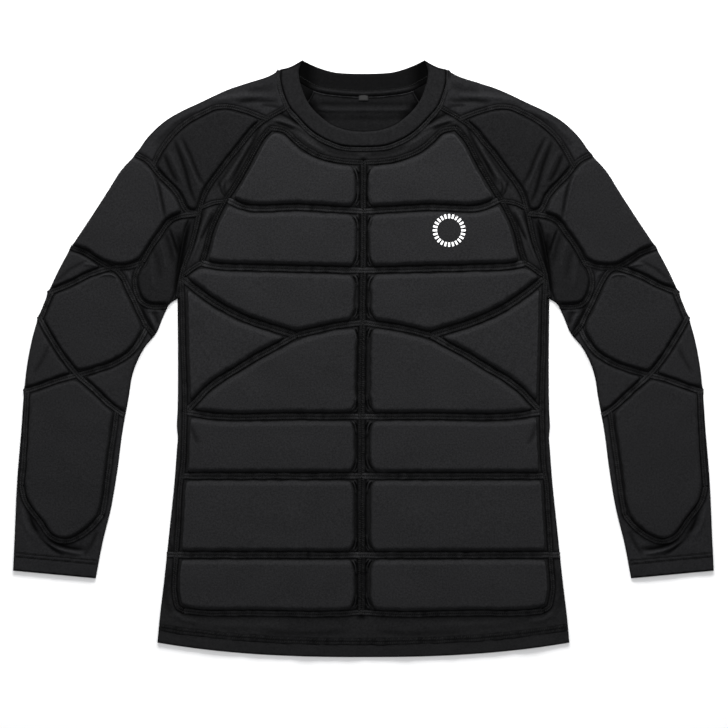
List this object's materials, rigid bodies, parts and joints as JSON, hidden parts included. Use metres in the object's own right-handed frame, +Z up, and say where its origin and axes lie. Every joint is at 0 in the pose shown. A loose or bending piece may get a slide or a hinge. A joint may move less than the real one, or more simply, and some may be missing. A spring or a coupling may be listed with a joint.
{
  "type": "padded compression shirt",
  "caption": "Long-sleeved padded compression shirt with raglan sleeves and a round collar band, laid flat with its front up.",
  "frame": {"origin": "middle of the shirt's width and length, on the surface that it lies on", "axes": "+X towards the wearer's left sleeve, +Y from hem to neck, +Z up off the surface, out of the front"},
  "size_m": [0.8746, 0.7443, 0.0129],
  "materials": {
    "front_cloth": "matt black knit over foam padding",
    "back_cloth": "matt black stretch knit",
    "sleeve_cloth": "matt black knit over foam padding",
    "collar_cloth": "matt black doubled knit band",
    "label_cloth": "black woven tab, bare"
  },
  "bodies": {
    "root": {"front_body": "front_cloth", "back_body": "back_cloth", "sleeve_right": "sleeve_cloth", "sleeve_left": "sleeve_cloth", "collar": "collar_cloth", "neck_label": "label_cloth"}
  },
  "joints": []
}
